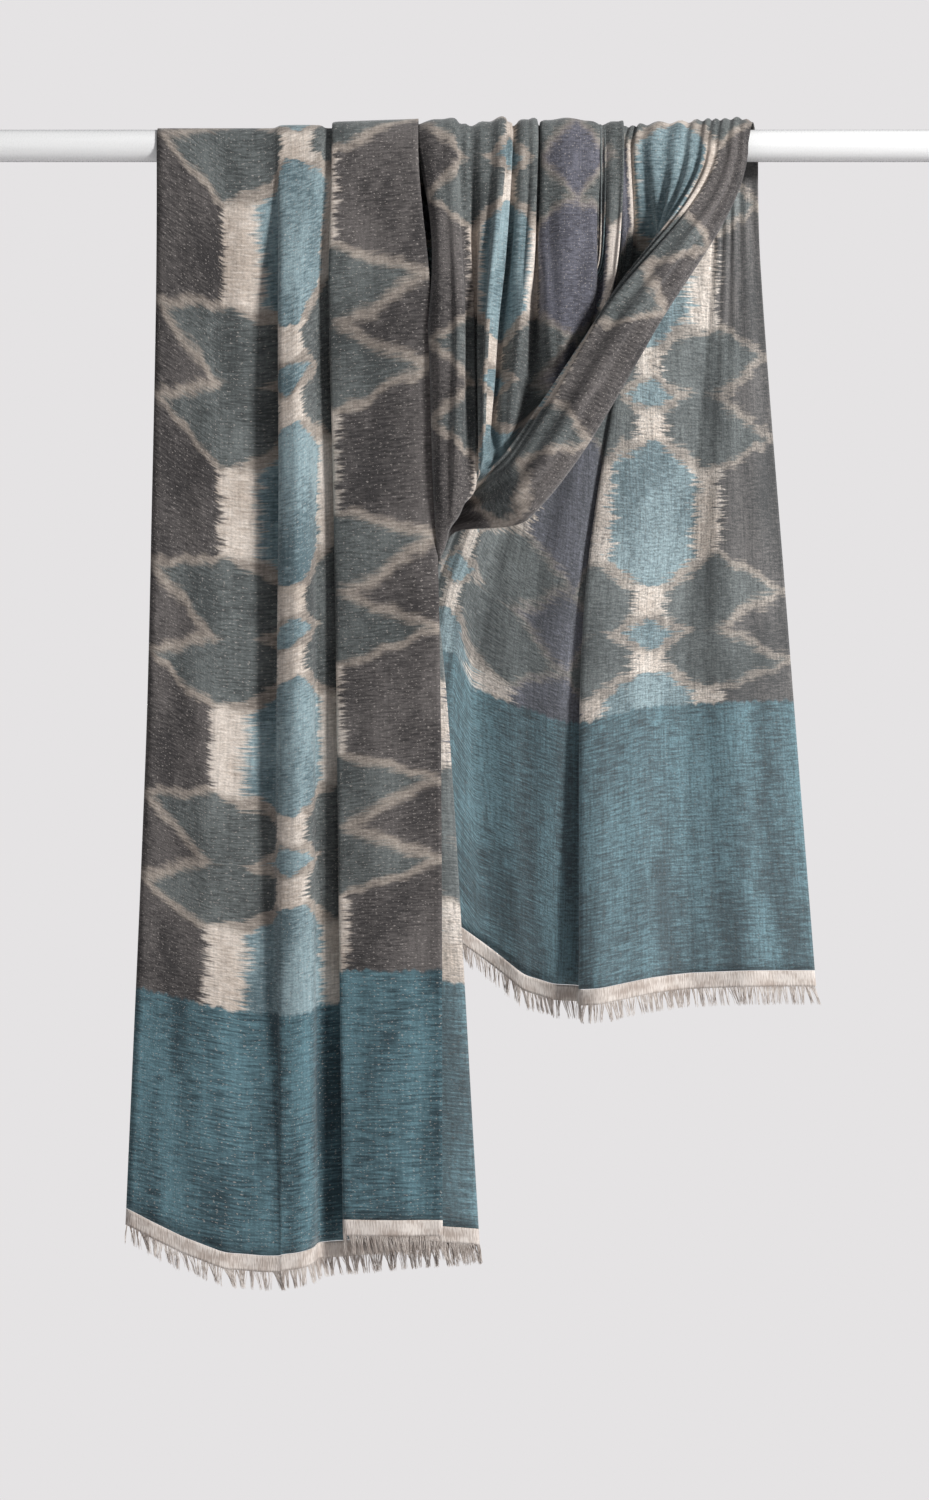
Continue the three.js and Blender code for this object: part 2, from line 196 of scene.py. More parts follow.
# Front tail
# The tail is a length of fine wool and silk, woven in one width with a selvedge at
# each side. It hangs over the rod by its own weight, with one ridge, one open
# pleat and a folded panel at its right side. All lengths are in millimetres.
CLOTH_WIDTH = 460.0
CLOTH_THICKNESS = 0.45
ROD_RADIUS = 11.0
ROD_TAIL = 1.5
ROD_STEPS = 12
FOLD_SOFTNESS = 3.0
FOLD_PITCH = 2.0
FOLD_REACH = 5.5
FRONT_PITCH = 5.4
FRONT_STEPS = (16, 18, 20, 34)


def table(names, *rows):
    """A table as a list of rows that are read by the names in its heading."""
    return [dict(zip(names.split(), row)) for row in rows]


# Each row is one place across the cloth. x and lift are how far right and how far in
# front of the rod it hangs at each of the depths in FRONT_PLACES, and drop is where
# it ends, at the hem.
FRONT_PLACES = (0.0, 105.0, 243.0, 415.0, 740.0)
FRONT_FOLDS = table(
    "cloth x lift drop",
    (0, (-210.7, -211, -213.5, -217.6, -231), (0.9, 3, 5, 6, 8), 728),
    (40, (-172, -174, -177, -182, -193), (0.9, 6, 8, 10, 14), 746),
    (66, (-152, -153.5, -154, -159, -163), (0.9, 5, 5, 9, 19), 757),
    (92, (-130, -122, -122, -128, -137), (0.9, 1, 0, 6, 20), 759),
    (104, (-127, -129.5, -130, -131, -125), (3, 13, 15, 15, 20), 759),
    (112, (-121, -126, -126, -127, -125), (3.1, 19, 21, 20.5, 20), 758),
    (126, (-111, -115, -114, -114, -115), (3.2, 21, 24, 23, 20), 757),
    (138, (-103, -108, -107, -107, -107), (3.1, 17.5, 20, 19, 17), 755),
    (146, (-98, -105.5, -105, -103.5, -102), (3, 12, 14, 13, 12), 753),
    (154, (-96, -103, -104, -103, -101), (0.9, 1, 1, 1, 1.5), 752),
    (298, (-40, -38, -24, -8, 10), (0.9, 1, 1, 1, 2), 743),
    (304, (-40, -38, -24, -8, 10), (3.1, 4.5, 5, 5, 6), 742),
    (386, (-91, -93.5, -91, -88.5, -82.5), (3.1, 5, 5, 6, 8), 735),
    (392, (-91, -93.5, -91, -88.5, -82.5), (5.3, 9, 9, 10, 12), 735),
    (460, (-31.6, -23, -19, -16, -15), (7.4, 17, 20, 20, 18), 735),
)

# Where the pattern lies: its place across the cloth, and how far below the rod its
# rows cross this place. The last row is the edge of the plain end panel.
FRONT_WEFT = table(
    "cloth across rows",
    (0, 0, (-42, 139, 319, 471, 577)),
    (50, 62, (-14, 168, 338, 492, 588)),
    (76, 84, (-14, 170, 341, 494, 594)),
    (121, 124, (-22, 162, 339, 492, 596)),
    (154, 159, (-28, 150, 330, 485, 590)),
    (298, 272, (-45, 130, 318, 478, 575)),
    (332, 299, (-47, 130, 315, 475, 572)),
    (386, 388, (-50, 129, 309, 470, 566)),
    (460, 460, (-53, 120, 305, 462, 565)),
)
FRONT_RIPPLES = (
    (74.0, 0.9, 0.1, 0.5), (41.0, 0.55, 0.6, -0.8), (23.0, 0.3, 0.3, 1.1), (128.0, 1.1, 0.8, 0.3),
)
FRONT_CALM = ((0, 0), (18, 1))

# Weights for rounding a fold off, from one side of a place to the other
ROUNDING = np.array([1, 8, 28, 56, 70, 56, 28, 8, 1], float) / 256
ROUNDING_PLACES = (np.arange(9) - 4) * FOLD_SOFTNESS / math.sqrt(2)


def section(rows, value):
    """The folded line of a stretch at one place: from cloth places to points. Each
    corner of the table's line is rounded off over a few millimetres."""
    cloth = np.array([row["cloth"] for row in rows], float)
    points = np.array([value(row) for row in rows], float)
    before = 2 * points[0] - points[1]
    after = 2 * points[-1] - points[-2]
    cloth = np.concatenate([[2 * cloth[0] - cloth[1]], cloth, [2 * cloth[-1] - cloth[-2]]])
    points = np.vstack([before, points, after])

    def at(columns):
        return sum(
            weight * np.stack(
                [np.interp(columns + shift, cloth, part) for part in points.T], axis=1,
            )
            for weight, shift in zip(ROUNDING, ROUNDING_PLACES)
        )

    return at


def run(places, lines, steps, rod_at_start, rod_at_end):
    """Rings of points along a stretch, on smooth paths through its folded lines.
    Where a path leaves the rod, it leaves straight down."""
    lines = np.array(lines)
    last = len(places) - 1

    def slope(k):
        before, after = max(k - 1, 0), min(k + 1, last)
        result = (lines[after] - lines[before]) / (places[after] - places[before])
        if (k == 0 and rod_at_start) or (k == last and rod_at_end):
            result = result * (0, 0, 1)
        return result

    rings = []
    for k, count in enumerate(steps):
        span = places[k + 1] - places[k]
        for t in np.arange(count) / count:
            h = t * t * (3 - 2 * t)
            rings.append(
                lines[k] * (1 - h) + lines[k + 1] * h
                + slope(k) * span * t * (1 - t) ** 2 - slope(k + 1) * span * t * t * (1 - t)
            )
    rings.append(lines[-1])
    return np.array(rings)


def over_rod(line, slide, from_front):
    """Rings that carry a folded line over the rod. line holds x and lift."""
    shares = np.arange(ROD_STEPS + 1) / ROD_STEPS
    reach = ROD_RADIUS + line[:, 1]
    rings = [
        np.stack([
            line[:, 0] + slide * share,
            -reach * math.cos(math.pi * share),
            reach * math.sin(math.pi * share),
        ], axis=1)
        for share in shares
    ]
    rings.append(np.stack([line[:, 0] + slide, reach, np.full(len(line), -ROD_TAIL)], axis=1))
    return np.array(rings if from_front else rings[::-1])


def columns_for(rows, pitch, at_folds=FOLD_PITCH):
    """Places across the cloth, closer together at each fold."""
    folds = np.array([row["cloth"] for row in rows], float)
    places = [0.0]
    while places[-1] < CLOTH_WIDTH - at_folds / 2:
        nearest = np.abs(folds[1:-1] - places[-1]).min()
        places.append(places[-1] + (at_folds if nearest < FOLD_REACH else pitch))
    places[-1] = CLOTH_WIDTH
    return np.array(places)


def profile(places, *corners):
    """Values at places on a broken line through corners, each a place and a value."""
    return np.interp(places, [corner[0] for corner in corners], [corner[1] for corner in corners])


def from_table(columns, rows, name):
    """A table's values, spread over the columns of the cloth."""
    return profile(columns, *[(row["cloth"], row[name]) for row in rows])


def normals_of(grid):
    along = np.gradient(grid, axis=0)
    sideways = np.gradient(grid, axis=1)
    normal = np.cross(along, sideways)
    return normal / np.maximum(np.linalg.norm(normal, axis=2, keepdims=True), 1e-9)


def rippled(grid, columns, calm, ripples):
    """The grid with soft ripples raised on it. Each ripple has its width across the
    cloth, its height, where it starts, and how far it wanders down the stretch."""
    down = np.linspace(0, 1, len(grid))[:, None]
    height = np.zeros(grid.shape[:2])
    for width, size, start, wander in ripples:
        turn = columns[None, :] / width + start + wander * down
        height += size * np.sin(2 * math.pi * turn)
    return grid + normals_of(grid) * (height * calm)[:, :, None]


def steps_from(grid):
    """Distance along each path of a grid, from its first ring."""
    gaps = np.linalg.norm(np.diff(grid, axis=0), axis=2)
    return np.concatenate([np.zeros((1, grid.shape[1])), np.cumsum(gaps, axis=0)])


def new_mesh(name, points, faces, uv, material_of_face, materials):
    """An object from points in millimetres, faces of four corners, and the place of
    each point on the flat cloth, in metres."""
    mesh = bpy.data.meshes.new(name)
    mesh.from_pydata((points / 1000).tolist(), [], faces.tolist())
    layer = mesh.uv_layers.new(name="cloth")
    layer.data.foreach_set("uv", (uv[faces.reshape(-1)]).reshape(-1))
    mesh.polygons.foreach_set("use_smooth", np.ones(len(faces), bool))
    mesh.polygons.foreach_set("material_index", material_of_face)
    for material in materials:
        mesh.materials.append(material)
    mesh.update()
    piece = bpy.data.objects.new(name, mesh)
    bpy.context.collection.objects.link(piece)
    return piece


def shell(grid, across, along):
    """The two faces and the edges of a thin cloth about a grid of points: points,
    faces, places in the pattern and the material of each face (0 reverse, 1 face)."""
    rows, columns = grid.shape[:2]
    normal = normals_of(grid)
    points = np.concatenate([
        (grid + normal * CLOTH_THICKNESS / 2).reshape(-1, 3),
        (grid - normal * CLOTH_THICKNESS / 2).reshape(-1, 3),
    ])
    across = np.broadcast_to(across, (rows, columns))
    flat = np.stack([across, along], axis=2).reshape(-1, 2) / 1000
    uv = np.concatenate([flat, flat])
    under = rows * columns
    index = np.arange(under).reshape(rows, columns)
    a, b, c, d = index[:-1, :-1], index[1:, :-1], index[1:, 1:], index[:-1, 1:]
    reverse = np.stack([a, b, c, d], axis=2).reshape(-1, 4)
    face = np.stack([a, d, c, b], axis=2).reshape(-1, 4) + under
    rim = np.concatenate([index[:, 0], index[-1, 1:], index[-2::-1, -1], index[0, -2::-1]])
    first, second = rim[:-1], rim[1:]
    edge = np.stack([first, first + under, second + under, second], axis=1)
    faces = np.concatenate([reverse, face, edge])
    material = np.concatenate([np.zeros(len(reverse)), np.ones(len(face)), np.ones(len(edge))])
    return points, faces, uv, material.astype(np.int32)


# Woven pattern of the whole cloth. Its weft was tied and dyed before it was woven,
# so each edge that runs down the cloth is feathered pick by pick. The pattern is a
# column of hexagons between cream bars, with zigzags at their ends.
PATTERN_REPEAT = 158.0
FIRST_KNOT = 3.0
FRONT_PANEL = -576.0
BACK_ROD = 943.0
BACK_PANEL = BACK_ROD + 385.0
BAR = (62.0, 84.0)
COLUMN_MIDDLE = 124.0
COLUMN_HALF = 40.0
FAR_BAR = 184.0

# Half the width of a hexagon and of the pale ground around it, by the distance from
# the nearest knot, and where that ground turns from taupe to cream
HEXAGON_HALF = ((0, 25), (14, -8), (29, -8), (31, 8), (50, COLUMN_HALF))
PALE_HALF = ((0, 40), (13, 15), (26, 15), (50, COLUMN_HALF + BAR[1] - BAR[0]))
CREAM_BAR = (44.0, 52.0)
CREAM_SPOT = 16.0
CREAM_SPOT_START = (9.0, 14.0)
CREAM_SPOT_END = (34.0, 28.0)
PALE_SHARE = 0.9

# The zigzags, from knot to knot: how deep they start, their notch and their tip
ZIGZAG_START = 0.95
ZIGZAG_NOTCH = (28, 1.5)
ZIGZAG_TIP = (51, 2.0)
ZIGZAG_END = (53, 30.0)
STROKE_WIDTH = 0.13
STROKE_SOFTNESS = 6.5
STROKE_ROWS = (60.0, 50.0)
STROKE_SHARE = 0.9
CENTRE_STROKE_SHARE = 0.6

# Patches by name: their width and length on the cloth, and how broken up they are
PICK = (14.0, 1.5, 3.0)
TIED_BUNDLE = (40.0, 6.0, 2.0)
SIDE_DRIFT = (60.0, 70.0, 2.0)
KNOT_DRIFT = (24.0, 60.0, 2.0)
PICK_SHADE = (9.0, 1.4, 3.0)
WIDE_SHADE = (40.0, 60.0, 2.0)
PANEL_EDGE = (5.0, 30.0, 3.0)
PANEL_PICK = (16.0, 1.5, 3.0)
PANEL_SHADE = (30.0, 120.0, 2.0)
FLECK = (1.5, 1.2, 1.0)
STREAK = (5.0, 1.3, 2.0)
WARP_STREAK = (1.9, 22.0, 2.0)
SLUB = (2.2, 1.1, 1.0)
SHADE_RANGE = (-0.32, 0.32)
SLUB_RANGE = (0.19, 0.25)

# How far the patches move an edge, in millimetres
PICK_PULL = 24.0
BUNDLE_PULL = 10.0
SIDE_PULL = 9.0
KNOT_PULL = 14.0
PANEL_PULL = 7.0
EDGE_SOFTNESS = 3.4
SPOT_SOFTNESS = 4.0
PANEL_SOFTNESS = 1.5

# Dyes, each from its darkest to its palest pick
CHARCOAL = ("#393636", "#66615f")
SLATE = ("#434747", "#6c7170")
LAVENDER = ("#45454d", "#6b6b75")
TAUPE = ("#80776f", "#aca196")
CREAM = ("#bdafa2", "#e0d5ca")
TEAL = ("#56696f", "#8da1a6")
DEEP_TEAL = ("#30434a", "#5f7f88")
SLUB_COLOUR = "#cbc2bb"
# The pale grey-blue below is painted light: the reverse is mixed toward it to stand in for the
# stronger light on the back tail
PAINTED_LIGHT_COLOUR = "#bcc4c5"

# Threads: the yarns of warp and weft, and how strongly each layer shows
WARP_YARN = 1.1
WEFT_YARN = 1.0
CROSSING_RELIEF = 0.25
STREAK_RELIEF = 1.2
WARP_SHARE = 1.1
STREAK_CONTRAST = 2.4

# The finish of both sides, and what each side gives the weave
THREAD_RANGE = (-0.6, 0.6)
CLOTH_ROUGHNESS = (0.92, 0.74)
CLOTH_RELIEF = 0.00035
CLOTH_STRENGTH = 0.6
CLOTH_SHEEN = 0.25
CLOTH_SHEEN_ROUGHNESS = 0.5
CLOTH_SPECULAR = 0.25
FACE_WEAVE = dict(Feathering=0.8, Streaks=0.2, PaintedLight=0.0, Slubs=0.42)
# On the reverse, a share of painted light makes the whole side paler
REVERSE_WEAVE = dict(Feathering=1.3, Streaks=0.44, PaintedLight=0.1, Slubs=0.15)


def cloth_place(tree, flat):
    """Distances across and along the flat cloth, in millimetres."""
    parts = tree.nodes.new("ShaderNodeSeparateXYZ")
    tree.links.new(flat, parts.inputs[0])
    return [maths(tree, "MULTIPLY", parts.outputs[k], 1000.0) for k in (0, 1)]


def cloth_map(tree):
    place = tree.nodes.new("ShaderNodeUVMap")
    place.uv_map = "cloth"
    return place.outputs[0]


def ikat_group():
    tree = new_group("ikat_weave", (
        ("Feathering", 1.0), ("Streaks", 0.2), ("PaintedLight", 0.0), ("Slubs", 0.5),
    ))
    tree.interface.new_socket("Cloth", in_out="INPUT", socket_type="NodeSocketVector")
    tree.interface.new_socket("Color", in_out="OUTPUT", socket_type="NodeSocketColor")
    tree.interface.new_socket("Height", in_out="OUTPUT", socket_type="NodeSocketFloat")
    given = tree.nodes.new("NodeGroupInput").outputs
    across, along = cloth_place(tree, given["Cloth"])

    def times(first, second):
        return maths(tree, "MULTIPLY", first, second)

    def plus(first, second):
        return maths(tree, "ADD", first, second)

    def less(first, second):
        return maths(tree, "SUBTRACT", first, second)

    def size_of(value):
        return maths(tree, "ABSOLUTE", value)

    def patches(size):
        return mottle(tree, across, along, *size)

    def within(value, softness=EDGE_SOFTNESS):
        return ease(tree, value, -softness, softness)

    def line(value, *corners):
        """A broken line through corners, each a place and a height."""
        result = corners[0][1]
        for (low, low_height), (high, high_height) in zip(corners, corners[1:]):
            rise = ease(tree, value, low, high, 0.0, high_height - low_height, "LINEAR")
            result = plus(result, rise)
        return result

    # Distance from the nearer selvedge, and from the nearest knot of the pattern
    feather = plus(times(patches(PICK), PICK_PULL), times(patches(TIED_BUNDLE), BUNDLE_PULL))
    feather = times(feather, given["Feathering"])
    side = maths(tree, "PINGPONG", across, CLOTH_WIDTH / 2)
    side = plus(side, plus(feather, times(patches(SIDE_DRIFT), SIDE_PULL)))
    knot = plus(less(along, FIRST_KNOT), times(patches(KNOT_DRIFT), KNOT_PULL))
    knot = maths(tree, "PINGPONG", knot, PATTERN_REPEAT / 2)

    # Hexagons, the small diamond between them, and the pale ground around both
    from_middle = size_of(less(side, COLUMN_MIDDLE))
    in_hexagon = within(less(line(knot, *HEXAGON_HALF), from_middle))
    in_pale = within(less(line(knot, *PALE_HALF), from_middle))
    spot_rows = times(ease(tree, knot, *CREAM_SPOT_START), ease(tree, knot, *CREAM_SPOT_END))
    spot = times(within(less(CREAM_SPOT, from_middle), SPOT_SOFTNESS), spot_rows)
    bright = plus(ease(tree, knot, *CREAM_BAR), spot)

    # Zigzags at the selvedges and in the middle of the cloth
    def zigzag(place, depth):
        heights = line(
            knot, (0, depth * ZIGZAG_START), ZIGZAG_NOTCH,
            (ZIGZAG_TIP[0], depth + ZIGZAG_TIP[1]), (ZIGZAG_END[0], depth + ZIGZAG_END[1]),
        )
        beside = less(place, heights)
        stroke = within(less(depth * STROKE_WIDTH, size_of(beside)), STROKE_SOFTNESS)
        return within(times(beside, -1.0)), stroke

    in_border, border_stroke = zigzag(side, BAR[0])
    in_centre, centre_stroke = zigzag(less(CLOTH_WIDTH / 2, side), CLOTH_WIDTH / 2 - FAR_BAR)
    strokes = maths(tree, "MAXIMUM", border_stroke, times(centre_stroke, CENTRE_STROKE_SHARE))
    strokes = times(strokes, ease(tree, knot, *STROKE_ROWS))

    # Colours, from the ground up
    shade = ease(tree, plus(patches(PICK_SHADE), patches(WIDE_SHADE)), *SHADE_RANGE)
    charcoal, slate, lavender, taupe, cream, teal = (
        blend(tree, shade, *dye) for dye in (CHARCOAL, SLATE, LAVENDER, TAUPE, CREAM, TEAL)
    )
    colour = blend(tree, in_border, slate, charcoal)
    colour = blend(tree, in_centre, colour, lavender)
    colour = blend(tree, times(strokes, STROKE_SHARE), colour, taupe)
    colour = blend(tree, times(in_pale, PALE_SHARE), colour, blend(tree, bright, taupe, cream))
    colour = blend(tree, in_hexagon, colour, teal)

    # End panels, plain teal with dark picks
    edge = plus(along, times(patches(PANEL_EDGE), PANEL_PULL))
    in_panel = plus(
        ease(tree, edge, FRONT_PANEL + PANEL_SOFTNESS, FRONT_PANEL - PANEL_SOFTNESS),
        ease(tree, edge, BACK_PANEL - PANEL_SOFTNESS, BACK_PANEL + PANEL_SOFTNESS),
    )
    picks = ease(tree, plus(patches(PANEL_PICK), patches(PANEL_SHADE)), *SHADE_RANGE)
    colour = blend(tree, in_panel, colour, blend(tree, picks, *DEEP_TEAL))

    # Single picks, slubs, and painted light that makes the reverse paler
    fleck, streak = patches(FLECK), patches(STREAK)
    light = plus(streak, plus(fleck, times(patches(WARP_STREAK), WARP_SHARE)))
    light = times(light, given["Streaks"])
    shaded = tree.nodes.new("ShaderNodeHueSaturation")
    feed(tree, plus(times(light, STREAK_CONTRAST), 1.0), shaded.inputs["Value"])
    feed(tree, colour, shaded.inputs["Color"])
    slub = times(ease(tree, patches(SLUB), *SLUB_RANGE), given["Slubs"])
    colour = blend(tree, slub, shaded.outputs[0], SLUB_COLOUR)
    # Painted light: the reverse is mixed toward a pale grey-blue
    colour = blend(tree, given["PaintedLight"], colour, PAINTED_LIGHT_COLOUR)

    # Threads that stand up from the surface
    crossing = times(
        maths(tree, "SINE", times(across, 2 * math.pi / WARP_YARN)),
        maths(tree, "SINE", times(along, 2 * math.pi / WEFT_YARN)),
    )
    height = plus(times(crossing, CROSSING_RELIEF), plus(fleck, times(streak, STREAK_RELIEF)))
    result = tree.nodes.new("NodeGroupOutput")
    tree.links.new(colour, result.inputs["Color"])
    tree.links.new(height, result.inputs["Height"])
    return tree


IKAT = ikat_group()


def cloth_material(name, values):
    """Fine wool and silk, soft and without gloss."""
    material, tree, shader = new_material(name)
    weave = tree.nodes.new("ShaderNodeGroup")
    weave.node_tree = IKAT
    tree.links.new(cloth_map(tree), weave.inputs["Cloth"])
    for label, value in values.items():
        weave.inputs[label].default_value = value
    height = weave.outputs["Height"]
    tree.links.new(weave.outputs["Color"], shader.inputs["Base Color"])
    feed(tree, ease(tree, height, *THREAD_RANGE, *CLOTH_ROUGHNESS), shader.inputs["Roughness"])
    raise_surface(tree, shader, height, CLOTH_RELIEF, CLOTH_STRENGTH)
    shader.inputs["Sheen Weight"].default_value = CLOTH_SHEEN
    shader.inputs["Sheen Roughness"].default_value = CLOTH_SHEEN_ROUGHNESS
    shader.inputs["Specular IOR Level"].default_value = CLOTH_SPECULAR
    return material


CLOTH_FACE = cloth_material("shawl_face", FACE_WEAVE)
CLOTH_REVERSE = cloth_material("shawl_reverse", REVERSE_WEAVE)

front_columns = columns_for(FRONT_FOLDS, FRONT_PITCH)
front_lines = [
    section(FRONT_FOLDS, lambda row: (
        row["x"][k], -(ROD_RADIUS + row["lift"][k]),
        -row["drop"] if height == FRONT_PLACES[-1] else -height,
    ))(front_columns)
    for k, height in enumerate(FRONT_PLACES)
]
front_hang = run(FRONT_PLACES, front_lines, FRONT_STEPS, True, False)
front_calm = profile(np.arange(len(front_hang)), *FRONT_CALM)[:, None]
front_hang = rippled(front_hang, front_columns, front_calm, FRONT_RIPPLES)
front_on_rod = section(FRONT_FOLDS, lambda row: (row["x"][0], row["lift"][0]))(front_columns)
front_over = over_rod(front_on_rod, 0.0, True)
front_grid = np.concatenate([front_hang[::-1], front_over[1:]])

# How far the pattern runs on past the first and the last of its known rows
RUN_ON = 400


def pattern_rows(below, columns, weft, places):
    """Place along the pattern of each point that hangs so far below the rod line,
    from the heights at which the pattern's rows cross the cloth."""
    crossings = np.array([row["rows"] for row in weft], float)
    cloth = [row["cloth"] for row in weft]
    at_columns = np.array([np.interp(columns, cloth, part) for part in crossings.T]).T
    onward = np.sign(places[1] - places[0]) * RUN_ON
    run_on = [places[0] - onward, *places, places[-1] + onward]
    result = np.empty(below.shape)
    for k, heights in enumerate(at_columns):
        ends = [heights[0] - RUN_ON, *heights, heights[-1] + RUN_ON]
        result[:, k] = np.interp(below[:, k], ends, run_on)
    return result


def knots(first, count):
    return [FIRST_KNOT + PATTERN_REPEAT * (first + k) for k in range(count)]


front_arc = steps_from(front_grid)
front_arc = front_arc[len(front_hang) - 1] - front_arc
front_below = np.where(front_arc > 0, -front_grid[:, :, 2], front_arc)
front_across = from_table(front_columns, FRONT_WEFT, "across")
front_rows = pattern_rows(
    front_below, front_columns, FRONT_WEFT, knots(-3, 4)[::-1] + [FRONT_PANEL],
)
front_shell = shell(front_grid, front_across, front_rows)


# Front fringe
# The last centimetre of each end is woven with undyed cream weft, and below it the
# loose warp ends are left as a short fringe of single yarns, drawn into small locks.
UNDYED_COLOURS = ("#b3a59b", "#e4dbd3")
UNDYED_YARN = (0.8, 6.0)
UNDYED_PATCH = (16.0, 9.0)
UNDYED_TONE = (-0.35, 0.35)
UNDYED_RANGE = (-0.4, 0.4)
UNDYED_ROUGHNESS = (0.95, 0.8)
UNDYED_RELIEF = 0.0005
UNDYED_STRENGTH = 0.7
UNDYED_SHEEN = 0.3
UNDYED_SPECULAR = 0.2
BAND_DEPTH = 11.0
BAND_STEPS = 7
SEAM = 0.3
FRINGE_LENGTH = 13.0
FRINGE_UNEVEN = (0.86, 1.06)
YARN_PITCH = 0.34
YARN_RADIUS = 0.26
YARN_TAPER = 0.55
YARN_ROOT = 0.8
YARN_RINGS = 5
YARN_SIDES = 3
YARN_TURN = 0.5
YARN_CURL = 0.5
YARN_WAVE = (0.2, 5)
YARN_STRAY = 0.05
LOCK_WIDTH = 4.2
LOCK_MIX = 0.2
LOCK_PULL = 0.5
LOCK_CLOSES = 1.6
LOCK_LEAN = (0.1, 0.12)


def undyed_material():
    material, tree, shader = new_material("undyed_ends")
    across, along = cloth_place(tree, cloth_map(tree))
    yarn = mottle(tree, across, along, *UNDYED_YARN)
    patch = mottle(tree, across, along, *UNDYED_PATCH)
    tone = ease(tree, maths(tree, "ADD", yarn, patch), *UNDYED_TONE)
    feed(tree, blend(tree, tone, *UNDYED_COLOURS), shader.inputs["Base Color"])
    feed(tree, ease(tree, yarn, *UNDYED_RANGE, *UNDYED_ROUGHNESS), shader.inputs["Roughness"])
    raise_surface(tree, shader, yarn, UNDYED_RELIEF, UNDYED_STRENGTH)
    shader.inputs["Sheen Weight"].default_value = UNDYED_SHEEN
    shader.inputs["Specular IOR Level"].default_value = UNDYED_SPECULAR
    return material


UNDYED = undyed_material()


def frayed_end(name, hem, above, columns, seed, node):
    """The cream band below a hem and the yarns that hang from it, as one piece."""
    down = hem - above
    down = down / np.linalg.norm(down, axis=1, keepdims=True)
    rng = np.random.default_rng(seed)
    depths = np.linspace(SEAM, SEAM + BAND_DEPTH, BAND_STEPS)
    band = np.array([hem + down * depth for depth in depths])
    flat = np.broadcast_to(depths[:, None], band.shape[:2])
    points, faces, uv, _ = shell(band, columns, flat)
    count = int(CLOTH_WIDTH / YARN_PITCH)
    place = np.sort(rng.uniform(0.5, CLOTH_WIDTH - 0.5, count))

    def across(values):
        return np.stack([np.interp(place, columns, part) for part in values.T], axis=1)

    # Each yarn has its root, its length and the lock that it is drawn into
    root, fall = across(band[-1]), across(down)
    lock = np.round(place / LOCK_WIDTH + rng.normal(0, LOCK_MIX, count)).clip(0)
    lean = rng.normal(*LOCK_LEAN, int(lock.max()) + 2)[lock.astype(int)]
    length = FRINGE_LENGTH * rng.uniform(*FRINGE_UNEVEN, count)
    curl = rng.normal(0, YARN_CURL, (count, 2))
    to_lock = np.interp(lock * LOCK_WIDTH, columns, band[-1][:, 0]) - root[:, 0]
    turn = rng.uniform(0, 2 * math.pi, count)
    corner_angles = [YARN_TURN + 2 * math.pi * k / YARN_SIDES for k in range(YARN_SIDES)]
    shares = np.linspace(0, 1, YARN_RINGS)
    rings = []
    for share in shares:
        middle = root + fall * (length * share - YARN_ROOT)[:, None]
        middle[:, 0] += lean * length * share
        middle[:, 0] += to_lock * LOCK_PULL * min(1.0, share * LOCK_CLOSES)
        middle[:, 0] += curl[:, 0] * share ** 2
        middle[:, 0] += YARN_WAVE[0] * np.sin(turn + YARN_WAVE[1] * share)
        middle[:, 1] += curl[:, 1] * share ** 1.5 + rng.normal(0, YARN_STRAY, count)
        radius = YARN_RADIUS * (1 - YARN_TAPER * share)
        rings.append(np.stack([
            middle + radius * np.array([math.cos(angle), math.sin(angle), 0.0])
            for angle in corner_angles
        ], axis=1))
    yarns = np.stack(rings, axis=1)

    # The four-cornered faces of every yarn, and its place on the flat cloth
    index = len(points) + np.arange(count * YARN_RINGS * YARN_SIDES)
    index = index.reshape(count, YARN_RINGS, YARN_SIDES)
    beside = np.roll(index, -1, axis=2)
    sides = [
        np.stack([
            index[:, r, k], beside[:, r, k], beside[:, r + 1, k], index[:, r + 1, k],
        ], axis=1)
        for r in range(YARN_RINGS - 1) for k in range(YARN_SIDES)
    ]
    yarn_uv = np.stack([
        np.broadcast_to(place[:, None, None], yarns.shape[:3]),
        np.broadcast_to((BAND_DEPTH + length[:, None] * shares)[:, :, None], yarns.shape[:3]),
    ], axis=3)
    points = np.concatenate([points, yarns.reshape(-1, 3)])
    uv = np.concatenate([uv, yarn_uv.reshape(-1, 2) / 1000])
    faces = np.concatenate([faces, *sides])
    piece = new_mesh(name, points, faces, uv, np.zeros(len(faces), np.int32), (UNDYED,))
    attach(piece, "root")
    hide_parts(node)
    return piece


front_end = frayed_end(
    "front_fringe_yarns", front_grid[0], front_grid[1], front_columns, 11, "front_fringe",
)


# Swag
# The same cloth comes over the rod to the front, hangs in deep folds, turns under
# itself at its lowest point, and goes up to the right and over the rod again.
SWAG_PITCH = 3.0
SWAG_SLIDE = 9.0
SWAG_START = 310.0
SWAG_END = BACK_ROD - 38.0
SWAG_STEPS = (18, 16, 8, 8, 18, 18)
SWAG_PLACES = (0.0, 1.3, 2.5, 2.9, 3.4, 4.9, 6.3)

